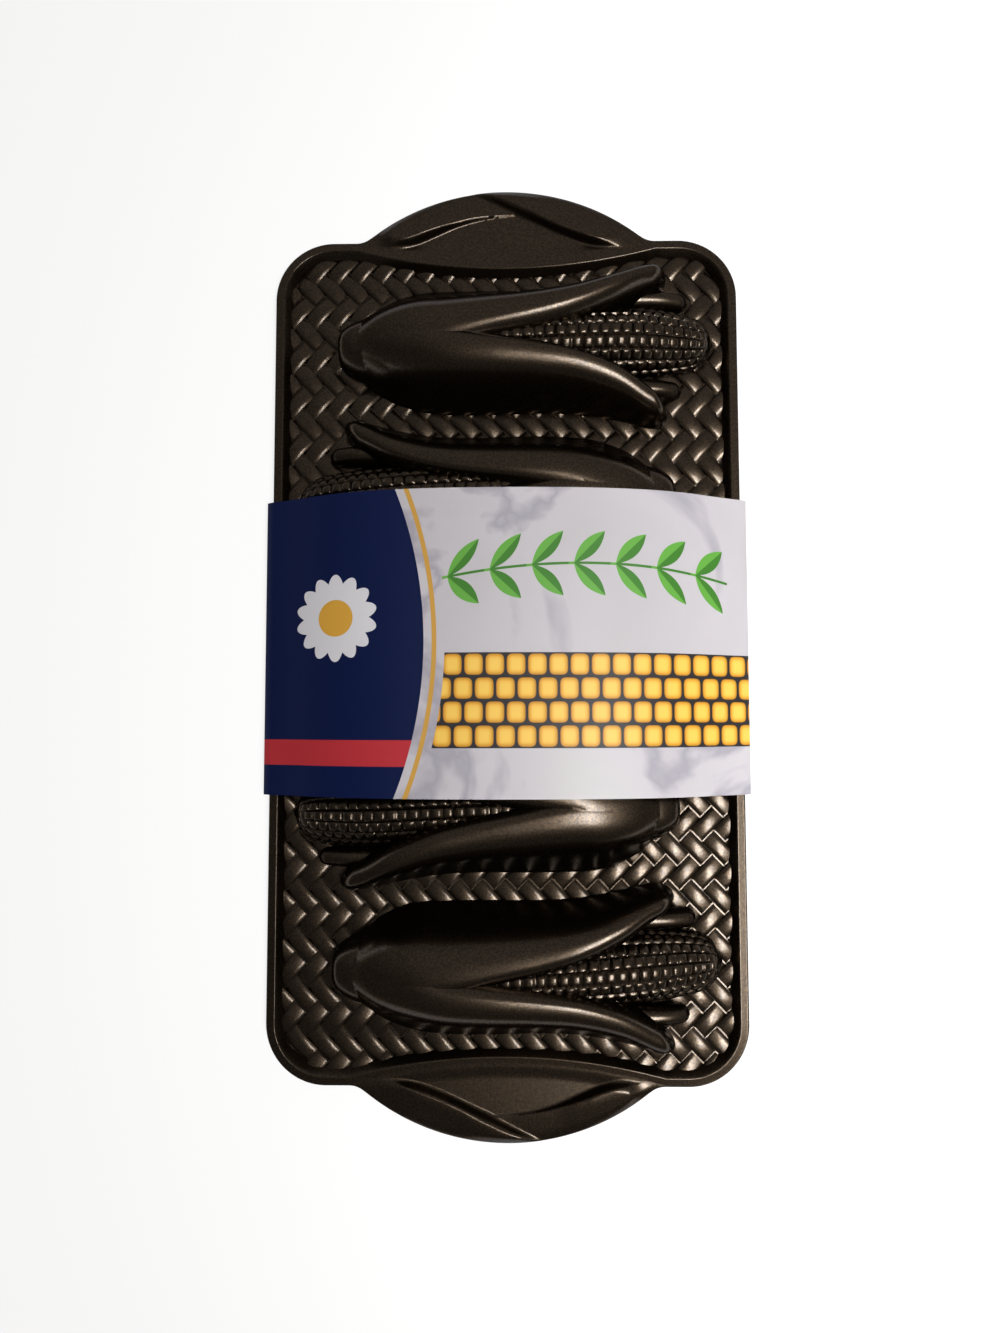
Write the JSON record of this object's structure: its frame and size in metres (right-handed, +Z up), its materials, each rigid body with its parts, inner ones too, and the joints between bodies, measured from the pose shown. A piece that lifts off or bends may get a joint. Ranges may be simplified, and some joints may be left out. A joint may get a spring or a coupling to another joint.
{
  "type": "cornstick pan",
  "caption": "Cast cornstick pan lying face down, with ear-shaped cups in alternating rows, a woven deck, a beaded rim, leaf handles and a slip-on paperboard sleeve.",
  "frame": {"origin": "middle of the sleeve's back, on the surface that the part lies on", "axes": "+X across the pan, +Y along it towards the far handle, +Z up, out of the ears' backs"},
  "size_m": [0.1944, 0.385, 0.0306],
  "materials": {
    "casting": "dark bronze non-stick coat, semi-gloss",
    "paperboard": "printed and coated, satin"
  },
  "bodies": {
    "pan": {"ear_cup_1": "casting", "ear_cup_2": "casting", "ear_cup_3": "casting", "ear_cup_4": "casting", "ear_cup_5": "casting", "woven_deck": "casting", "rim_left": "casting", "rim_right": "casting", "handle_far": "casting", "handle_near": "casting"},
    "sleeve": {"sleeve": "paperboard"}
  },
  "joints": [
    {"name": "sleeve_slide", "type": "slide", "parent": "pan", "child": "sleeve", "axis": [0, 1, 0], "range_m": [-0.26, 0.26]}
  ]
}
